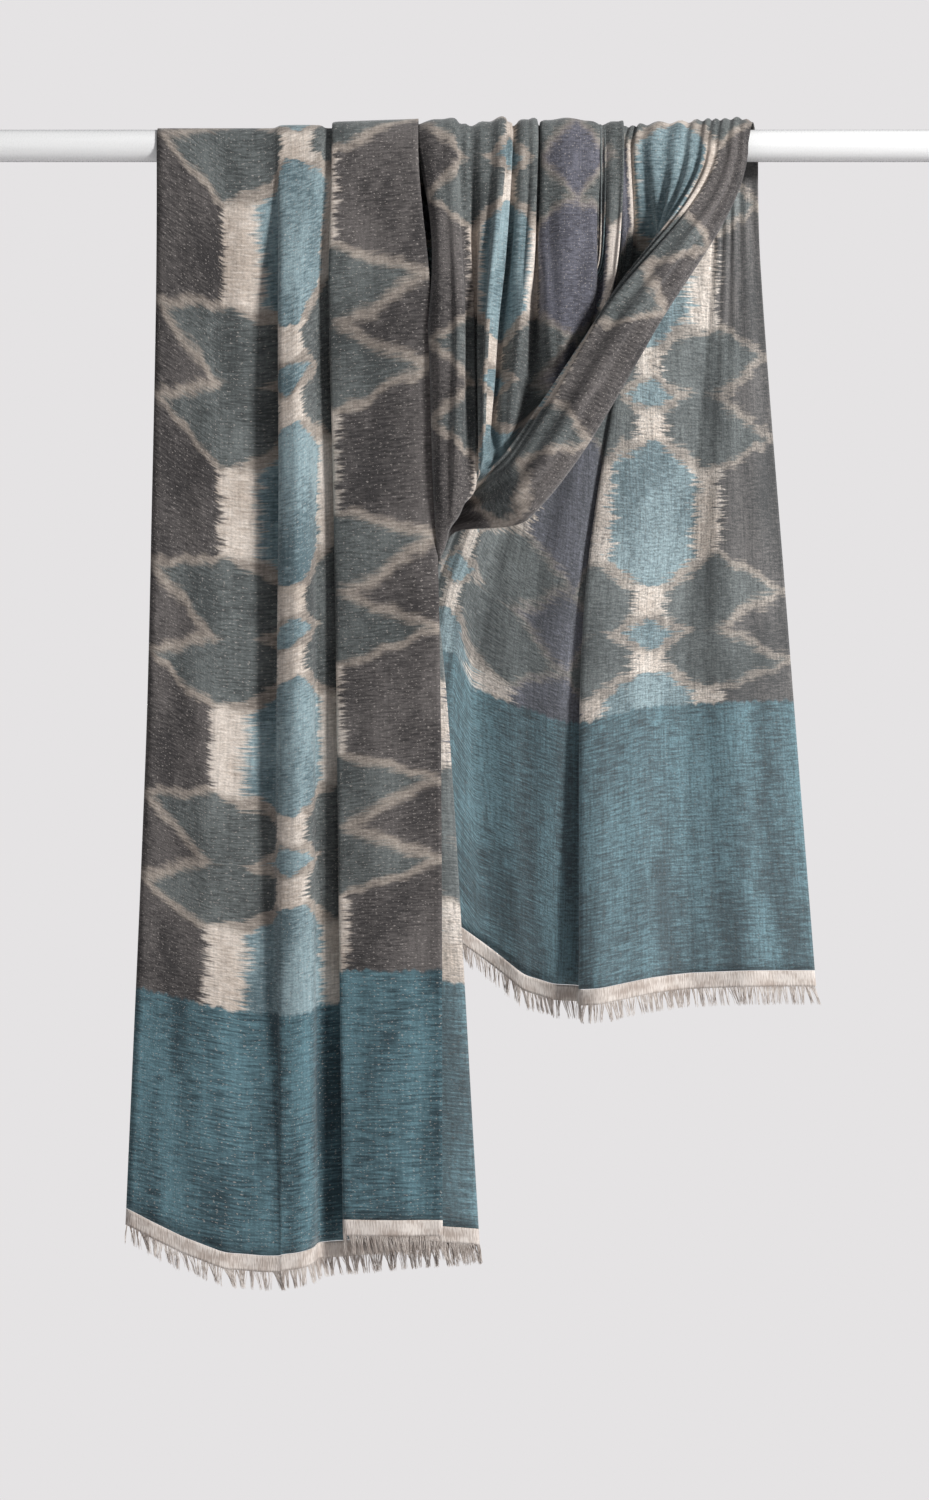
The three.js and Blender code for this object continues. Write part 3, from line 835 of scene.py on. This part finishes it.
# Each row is one place across the cloth, with its place across the pattern where the
# swag starts and at its end. start and end are x and lift at the rod. The five
# others are points on the way: x, z, and how far it is in front of the rod's axis.
SWAG_FOLDS = table(
    "cloth across at_end start left tip notch lip right end",
    (0, 0, 0, (80, 2.6), (84, -70, 27), (81.5, -87, 27.5), (80.5, -93, 19), (83.5, -88, 13),
     (86.5, -51.5, 15), (78, 0.9)),
    (215, 160, 170, (108, 2.7), (101, -86, 28), (85.5, -109.5, 21), (92, -100.5, 19),
     (94, -102, 16.5), (100.5, -52.5, 19.5), (94, 0.9)),
    (225, 170, 190, (109, 6.5), (103, -92, 37), (94, -118, 34.5), (93, -119.5, 23),
     (94, -115, 18), (101.5, -69.5, 11), (98, 1)),
    (248, 198, 225, (94, 2.5), (91, -100, 27), (84, -133, 27), (84, -137, 27),
     (88, -128, 19.5), (105, -76, 13), (103, 1.1)),
    (270, 226, 262, (79, 7), (79, -108, 42), (73.5, -149.5, 32), (74.5, -155.5, 33.5),
     (82, -142, 21), (109, -82, 14.5), (108, 1.2)),
    (300, 264, 297, (56, 6.5), (54, -118, 39), (62, -168, 34.5), (60, -172, 27.5),
     (58.5, -172.5, 20), (113, -99.5, 13.5), (116, 2)),
    (313, 280, 306, (52, 1.4), (49, -122, 19), (43.5, -177, 20.5), (54, -181, 27),
     (64.5, -182, 26.5), (130.5, -106, 22.5), (122, 3)),
    (329, 300, 322, (46, 8), (39, -126, 40), (32, -189.5, 43.5), (33, -209.5, 34),
     (58, -183.5, 32.5), (127, -100, 28), (134, 4)),
    (351, 328, 345, (32, 1.4), (23, -126, 19), (18, -197.5, 33), (24, -217.5, 34.5),
     (48.5, -195.5, 36.5), (110, -108.5, 37.5), (150, 4.4)),
    (372, 354, 370, (28, 8), (17.5, -126, 41), (13.5, -209.5, 43.5), (13, -226, 39),
     (31.5, -209, 42.5), (99, -111, 44), (163, 6)),
    (404, 392, 398, (2, 1.5), (6, -126, 21), (8, -234, 36), (0, -243, 17), (33, -222, 48),
     (92, -122.5, 50), (174, 6)),
    (432, 426, 428, (-11, 8), (-5, -126, 43), (-8, -258, 38), (-4, -253, 12), (37, -243, 56),
     (110, -130, 58), (184, 7.2)),
    (460, 460, 460, (-33, 3), (-25, -126, 31), (-18, -283, 31), (-6, -266, 12),
     (45, -258, 48), (129, -132, 50), (194, 5)),
)

# Small changes across the cloth: how far the rising band stands off, how far the
# near selvedge swings out, and where the seen and the hidden cloth is gathered
SWAG_STAND = (
    (270, 0), (300, -5), (329, -1), (351, 4), (372, 9), (404, 14), (432, 11), (460, 5),
)
SWAG_SWING = ((436, 0), (460, 7))
SWAG_VISIBLE = (
    (210, 0), (222, 0.4), (240, 0.55), (290, 0.55), (300, 0.9), (365, 0.9), (380, 0.7),
    (445, 0.7), (460, 0.1),
)
SWAG_HIDDEN = ((0, 0.3), (14, 1), (196, 1), (210, 0))

# Gathers: the width of one fold, and what makes the folds uneven and wander
GATHER_ON_ROD = 1.2
GATHER_WAVE = 19.0
GATHER_BLUR = 9.0
GATHER_UNEVEN = (1.9, 31.0, 0.7)
GATHER_WANDER = (0.8, 13.0, 3.1)
GATHER_LIFT = 1.5


def gathered(grid, columns, most, away):
    """The grid with fine folds where it is narrower than its cloth, deep enough to
    take up the cloth but at most as deep as given for each point. The folds stand
    off in the direction of away."""
    speed = np.linalg.norm(np.gradient(grid, axis=1), axis=2) / np.gradient(columns)
    beside = np.abs(columns[:, None] - columns[None, :])
    weights = np.exp(-(beside / GATHER_BLUR) ** 2)
    speed = speed @ (weights / weights.sum(axis=0))
    need = np.sqrt(np.clip(1 - speed ** 2, 0, None) * 2) * GATHER_WAVE / (2 * math.pi)
    down = np.linspace(0, 1, len(grid))[:, None]
    place = columns[None, :]
    size, width, start = GATHER_UNEVEN
    turn = 2 * math.pi * place / GATHER_WAVE + size * np.sin(place / width + start)
    size, width, wander = GATHER_WANDER
    turn = turn + size * np.sin(place / width + wander * down)
    normal = normals_of(grid)
    lift = np.clip((normal * away).sum(axis=2) * GATHER_LIFT, -1, 1)
    height = np.minimum(need, most) * (np.sin(turn) + lift)
    return grid + normal * height[:, :, None]


def off_rod(grid):
    """Directions straight away from the rod's axis."""
    away = grid * (0, 1, 1)
    return away / np.linalg.norm(away, axis=2, keepdims=True)


def at_rod_front(line):
    return np.stack([line[:, 0], -(ROD_RADIUS + line[:, 1]), np.zeros(len(line))], axis=1)


def swag_line(name):
    """The folded line through the swag's points of one name."""
    line = section(SWAG_FOLDS, lambda row: (row[name][0], -row[name][2], row[name][1]))
    return line(swag_columns)


swag_columns = columns_for(SWAG_FOLDS, SWAG_PITCH)
swag_start = section(SWAG_FOLDS, lambda row: row["start"])(swag_columns)
swag_end = section(SWAG_FOLDS, lambda row: row["end"])(swag_columns)
swag_lines = [swag_line(name) for name in ("left", "tip", "notch", "lip", "right")]
swag_lines = [at_rod_front(swag_start), *swag_lines, at_rod_front(swag_end)]
swag_hang = run(SWAG_PLACES, swag_lines, SWAG_STEPS, True, True)
hang_ring = np.arange(len(swag_hang))
swag_rise = np.clip((hang_ring - sum(SWAG_STEPS[:5])) / SWAG_STEPS[5], 0, 1)
swag_stand = profile(swag_columns, *SWAG_STAND)
swag_hang[:, :, 1] -= np.sin(math.pi * swag_rise)[:, None] * swag_stand
swag_fall = np.clip(hang_ring / SWAG_STEPS[0], 0, 1)
swag_swing = profile(swag_columns, *SWAG_SWING)
swag_hang[:, :, 0] += np.sin(math.pi * swag_fall)[:, None] * swag_swing
swag_before = over_rod(swag_start, 0.0, False)[:-1]
swag_after = over_rod(swag_end, SWAG_SLIDE, True)[1:]
swag_grid = np.concatenate([swag_before, swag_hang, swag_after])
swag_first = len(swag_before)
swag_last = swag_first + len(swag_hang) - 1

# The pattern is laid on from both ends, and the two halves blend at the turn
TURN_SPEED = 1.6
swag_steps = steps_from(swag_grid)
from_start = swag_steps - swag_steps[swag_first]
to_end = swag_steps[swag_last] - swag_steps
ring = np.arange(len(swag_grid))
turn_share = (ring - swag_first - sum(SWAG_STEPS[:2])) / sum(SWAG_STEPS[2:5])
turn_share = np.clip(turn_share * TURN_SPEED, 0, 1)[:, None]
turn_share = turn_share * turn_share * (3 - 2 * turn_share)
swag_rows = (SWAG_START + from_start) * (1 - turn_share) + (SWAG_END - to_end) * turn_share
swag_across = from_table(swag_columns, SWAG_FOLDS, "across")
swag_at_end = from_table(swag_columns, SWAG_FOLDS, "at_end")
swag_across = swag_across + (swag_at_end - swag_across) * turn_share

# The depth of the gathers, ring by ring, for the cloth in view and the cloth hidden
swag_visible_most = profile(
    ring, (swag_first, GATHER_ON_ROD), (swag_first + 14, 3.4), (swag_first + 28, 2.6),
    (swag_first + 36, 1.0), (swag_first + 48, 1.4), (swag_last - 15, 2.4),
    (swag_last, GATHER_ON_ROD),
)
swag_hidden_most = profile(
    ring, (swag_first, 0.5), (swag_first + 12, 5.2), (swag_last - 12, 5.2), (swag_last, 0.5),
)
swag_hidden = profile(swag_columns, *SWAG_HIDDEN)
swag_most = (
    swag_visible_most[:, None] * profile(swag_columns, *SWAG_VISIBLE)
    + swag_hidden_most[:, None] * swag_hidden
)
on_rod = profile(
    ring, (swag_first, 1), (swag_first + 6, 0), (swag_last - 6, 0), (swag_last, 1),
)[:, None, None]
behind = np.array([0.0, 1.0, 0.0])
swag_away = off_rod(swag_grid) * on_rod + behind * (1 - on_rod) * swag_hidden[:, None]
swag_grid = gathered(swag_grid, swag_columns, swag_most, swag_away)
swag_shell = shell(swag_grid, swag_across, swag_rows)


# Loop behind the rod
# Between the front tail and the swag the cloth hangs behind the rod in one shallow
# loop, deepest at its left selvedge, and turns over as it goes.
LOOP_LEFT_DIP = 120.0
LOOP_RIGHT_DIP = 25.0
LOOP_STEPS = 32
LOOP_PITCH = 3.4
LOOP_FOLD_PITCH = 3.0
LOOP_EARLY = 0.7
LOOP_LATE = 1.6
LOOP_PEAK = 4
LOOP_GATHERS = ((0, 0), (0.2, 4.3), (0.8, 4.3), (1, 0.6))
LOOP_GATHERED = ((0, 0), (20, 1), (440, 1), (460, 0.1))
LOOP_NEAR_ROD = ((0, 1), (0.2, 0.3), (0.8, 0.3), (1, 1))

# How far the cloth stands off behind, early and late on its way through the loop
LOOP_FOLDS = table(
    "cloth early late",
    (0, 0, -24),
    (165, 0, 0),
    (231, 0, 2),
    (389, 30, 6),
    (460, 26, 6),
)

folds_of_both = sorted(FRONT_FOLDS + SWAG_FOLDS, key=lambda row: row["cloth"])
loop_columns = columns_for(folds_of_both, LOOP_PITCH, at_folds=LOOP_FOLD_PITCH)
loop_start = section(FRONT_FOLDS, lambda row: (row["x"][0], row["lift"][0]))(loop_columns)
loop_end = section(SWAG_FOLDS, lambda row: row["start"])(loop_columns)
loop_stand_off = section(LOOP_FOLDS, lambda row: (row["early"], row["late"]))(loop_columns)
loop_dip = LOOP_LEFT_DIP + (LOOP_RIGHT_DIP - LOOP_LEFT_DIP) * loop_columns / CLOTH_WIDTH
loop_share = np.linspace(0, 1, LOOP_STEPS + 1)
loop_rings = []
for share in loop_share:
    sag = math.sin(math.pi * share)
    crossed = (1 - math.cos(math.pi * share)) / 2
    early = math.sin(math.pi * share ** LOOP_EARLY) ** LOOP_PEAK
    late = math.sin(math.pi * share ** LOOP_LATE) ** LOOP_PEAK
    line = loop_start * (1 - crossed) + loop_end * crossed
    depth = ROD_RADIUS + line[:, 1] + loop_stand_off[:, 0] * early + loop_stand_off[:, 1] * late
    loop_rings.append(np.stack([line[:, 0], depth, -ROD_TAIL - SEAM - loop_dip * sag], axis=1))
loop_grid = np.array(loop_rings)
loop_steps = steps_from(loop_grid)
loop_first = np.interp(loop_columns, front_columns, front_rows[-1])
loop_last = np.interp(loop_columns, swag_columns, swag_rows[0])
loop_rows = loop_first + (loop_last - loop_first) * loop_steps / loop_steps[-1]
loop_most = profile(loop_share, *LOOP_GATHERS)[:, None] * profile(loop_columns, *LOOP_GATHERED)
loop_away = off_rod(loop_grid) * profile(loop_share, *LOOP_NEAR_ROD)[:, None, None]
loop_grid = gathered(loop_grid, loop_columns, loop_most, loop_away)
loop_across = np.interp(loop_columns, swag_columns, swag_across[0])
loop_shell = shell(loop_grid, loop_across, loop_rows)


# Back tail
# The last stretch falls behind the rod and shows its reverse, which painted light makes paler
# all over. It spreads from the gathers on the rod to nearly its full width at the hem.
BACK_PLACES = (1.8, 80.0, 312.0, 580.0)
BACK_STEPS = (16, 28, 32)
BACK_PITCH = 3.4
BACK_FAN_AT_HIGH = 0.09
BACK_SPREAD = ((90, 0), (260, 1))
BACK_CALM = ((8, 0), (38, 1))
BACK_RIPPLES = (
    (86.0, 1.0, 0.2, 0.4), (37.0, 0.5, 0.7, -0.6), (150.0, 1.2, 0.4, -0.2),
)

# The depth of the gathers by ring, and how much of it each part of the width takes
BACK_HIDDEN_GATHERS = ((0, 0.6), (12, 4.2), (76, 4.2))
BACK_HIDDEN = ((0, 0.3), (12, 1.2), (104, 1.2), (122, 0))
BACK_VISIBLE_GATHERS = ((0, GATHER_ON_ROD), (10, 1.6), (24, 0.5), (76, 0.3))
BACK_VISIBLE = ((122, 0), (140, 0.5), (440, 0.5), (460, 0.1))
BACK_NEAR_ROD = ((0, 1), (10, 0))

# high is how far behind the rod's axis a place hangs at the second of BACK_PLACES.
# mid and hem are x and that distance at the third and at the hem.
BACK_FOLDS = table(
    "cloth high mid hem drop",
    (0, 8, (-62, 30), (-66, 36), 512),
    (180, 11, (0, 34), (-6, 42), 536),
    (196, 13, (11, 37), (12, 45), 549),
    (232, 15, (46, 30), (42, 37), 572),
    (262, 14, (75, 22), (62, 31), 578),
    (277, 14, (87, 24), (81, 35), 579),
    (288, 12, (82, 18.5), (78, 18), 581),
    (304, 12, (96, 15), (92, 14), 580),
    (340, 15, (127, 20), (128, 21), 573),
    (372, 18, (152, 26), (157, 29), 570),
    (410, 17, (183, 21), (196, 22), 568),
    (460, 17, (223, 24), (243, 26), 568),
)

# As for the front tail, and at_top is the place across the pattern near the rod
BACK_WEFT = table(
    "cloth across at_top rows",
    (0, 0, 0, (0, 130, 270, 330)),
    (180, 150, 160, (0, 145, 292, 348)),
    (196, 164, 180, (0, 155, 300, 372)),
    (222, 184, 210, (2, 158, 318, 382)),
    (262, 230, 280, (4, 164, 334, 396)),
    (277, 266, 296, (6, 166, 336, 397)),
    (288, 276, 308, (6, 166, 336, 397)),
    (340, 334, 374, (8, 170, 336, 385)),
    (385, 381, 400, (9, 171, 332, 383)),
    (400, 396, 408, (9, 171, 331, 382)),
    (460, 460, 460, (10, 171, 330, 380)),
)

back_columns = columns_for(BACK_FOLDS, BACK_PITCH)
level = np.ones(len(back_columns))
back_on_rod = section(SWAG_FOLDS, lambda row: row["end"])(back_columns)
back_at_rod = np.stack([
    back_on_rod[:, 0] + SWAG_SLIDE, ROD_RADIUS + back_on_rod[:, 1], level * -BACK_PLACES[0],
], axis=1)
back_at_mid = section(BACK_FOLDS, lambda row: (*row["mid"], -BACK_PLACES[2]))(back_columns)
back_high_depth = section(BACK_FOLDS, lambda row: (row["high"],))(back_columns)[:, 0]
back_fan = (back_at_mid[:, 0] - back_at_rod[:, 0]) * BACK_FAN_AT_HIGH
back_at_high = np.stack([
    back_at_rod[:, 0] + back_fan, back_high_depth, level * -BACK_PLACES[1],
], axis=1)
back_at_hem = section(BACK_FOLDS, lambda row: (*row["hem"], -row["drop"]))(back_columns)
back_lines = [back_at_rod, back_at_high, back_at_mid, back_at_hem]
back_grid = run(BACK_PLACES, back_lines, BACK_STEPS, True, False)
back_below = -back_grid[:, :, 2]
back_low = from_table(back_columns, BACK_WEFT, "across")
back_top = from_table(back_columns, BACK_WEFT, "at_top")
back_across = back_top + (back_low - back_top) * profile(back_below, *BACK_SPREAD)
back_rows = pattern_rows(back_below, back_columns, BACK_WEFT, knots(6, 3) + [BACK_PANEL])
back_ring = np.arange(len(back_grid))
back_calm = profile(back_ring, *BACK_CALM)[:, None]
back_grid = rippled(back_grid, back_columns, back_calm, BACK_RIPPLES)
back_hidden_most = profile(back_ring, *BACK_HIDDEN_GATHERS)[:, None]
back_visible_most = profile(back_ring, *BACK_VISIBLE_GATHERS)[:, None]
back_most = (
    back_hidden_most * profile(back_columns, *BACK_HIDDEN)
    + back_visible_most * profile(back_columns, *BACK_VISIBLE)
)
back_away = off_rod(back_grid) * profile(back_ring, *BACK_NEAR_ROD)[:, None, None]
back_grid = gathered(back_grid, back_columns, back_most, back_away)
back_shell = shell(back_grid, back_across, back_rows)
back_end = frayed_end(
    "back_fringe_yarns", back_grid[-1], back_grid[-2], back_columns, 12, "back_fringe",
)


def joined(*shells):
    """Several shells as one: points, faces, places in the pattern and materials."""
    starts = np.cumsum([0] + [len(part[0]) for part in shells[:-1]])
    return (
        np.concatenate([part[0] for part in shells]),
        np.concatenate([part[1] + start for part, start in zip(shells, starts)]),
        np.concatenate([part[2] for part in shells]),
        np.concatenate([part[3] for part in shells]),
    )


whole = joined(front_shell, loop_shell, swag_shell, back_shell)
cloth = new_mesh("shawl_cloth", *whole, (CLOTH_REVERSE, CLOTH_FACE))
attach(cloth, "root")
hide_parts("front_tail", "back_loop", "swag", "back_tail")


# Room
# A round pale floor lies under the shawl. Around it there is nothing but the plain
# pale sky, so that the shawl is seen from every side. In metres.
FLOOR_RADIUS = 1.85
FLOOR_CENTRE = 0.0002
FLOOR_HEIGHT = -1.3
FLOOR_RINGS = 24
FLOOR_SECTORS = 96
FLOOR_COLOURS = ("#c6c4c5", "#cac8c9")
FLOOR_PATCH = 0.5
FLOOR_ROUGHNESS = 0.95


def floor_material():
    material, tree, shader = new_material("pale_floor")
    right, back, _ = object_place(tree)
    patch = mottle(tree, right, back, FLOOR_PATCH, FLOOR_PATCH)
    colour = blend(tree, maths(tree, "ADD", patch, 0.5), *FLOOR_COLOURS)
    feed(tree, colour, shader.inputs["Base Color"])
    shader.inputs["Roughness"].default_value = FLOOR_ROUGHNESS
    return material


floor_turns = np.arange(FLOOR_SECTORS) * 2 * math.pi / FLOOR_SECTORS
floor_points = np.array([
    (radius * math.cos(turn) * 1000, radius * math.sin(turn) * 1000, FLOOR_HEIGHT * 1000)
    for radius in np.linspace(FLOOR_CENTRE, FLOOR_RADIUS, FLOOR_RINGS) for turn in floor_turns
])
floor_index = np.arange(FLOOR_RINGS * FLOOR_SECTORS).reshape(FLOOR_RINGS, FLOOR_SECTORS)
floor_beside = np.roll(floor_index, -1, axis=1)
floor_faces = np.stack([
    floor_index[:-1], floor_index[1:], floor_beside[1:], floor_beside[:-1],
], axis=2).reshape(-1, 4)
floor = new_mesh(
    "round_floor", floor_points, floor_faces, floor_points[:, :2] / 1000,
    np.zeros(len(floor_faces), np.int32), (floor_material(),),
)

# Light
# Daylight through diffusers: a strong one at the upper right, a weaker one at the
# left, two behind for the back of the cloth, and a faint sky for the shadows.
LAMPS = [
    dict(name="right_diffuser", place=(2.3, -1.75, 0.9), aim=(0, 0, -0.35), size=0.6, power=122),
    dict(name="left_diffuser", place=(-2.3, -1.6, 0.5), aim=(-0.1, 0, -0.4), size=1.2, power=9),
    dict(name="back_left_diffuser", place=(-1.6, 2.3, 0.8), aim=(0, 0, -0.35), size=0.8, power=70),
    dict(name="back_right_diffuser", place=(2.2, 1.9, 0.4), aim=(0, 0, -0.35), size=1.2, power=14),
]
SEEN_SKY = "#e5e3e4"
SKY_LIGHT = (0.95, 0.95, 1.0, 1.0)
SKY_STRENGTH = 0.17

for row in LAMPS:
    lamp = bpy.data.objects.new(row["name"], bpy.data.lights.new(row["name"], "AREA"))
    lamp.data.shape = "DISK"
    lamp.data.size = row["size"]
    lamp.data.energy = row["power"]
    lamp.location = row["place"]
    away = [p - a for p, a in zip(row["place"], row["aim"])]
    flat = math.hypot(away[0], away[1])
    lamp.rotation_euler = (math.atan2(flat, away[2]), 0.0, math.atan2(away[0], -away[1]))
    bpy.context.collection.objects.link(lamp)
sky = bpy.data.worlds.new("sky")
sky.use_nodes = True
sky_tree = sky.node_tree
seen_sky = sky_tree.nodes["Background"]
seen_sky.inputs[0].default_value = linear(SEEN_SKY)
sky_light = sky_tree.nodes.new("ShaderNodeBackground")
sky_light.inputs[0].default_value = SKY_LIGHT
sky_light.inputs[1].default_value = SKY_STRENGTH
sky_choice = sky_tree.nodes.new("ShaderNodeMixShader")
sky_ray = sky_tree.nodes.new("ShaderNodeLightPath")
sky_tree.links.new(sky_ray.outputs["Is Camera Ray"], sky_choice.inputs[0])
sky_tree.links.new(sky_light.outputs[0], sky_choice.inputs[1])
sky_tree.links.new(seen_sky.outputs[0], sky_choice.inputs[2])
sky_tree.links.new(sky_choice.outputs[0], sky_tree.nodes["World Output"].inputs["Surface"])
bpy.context.scene.world = sky
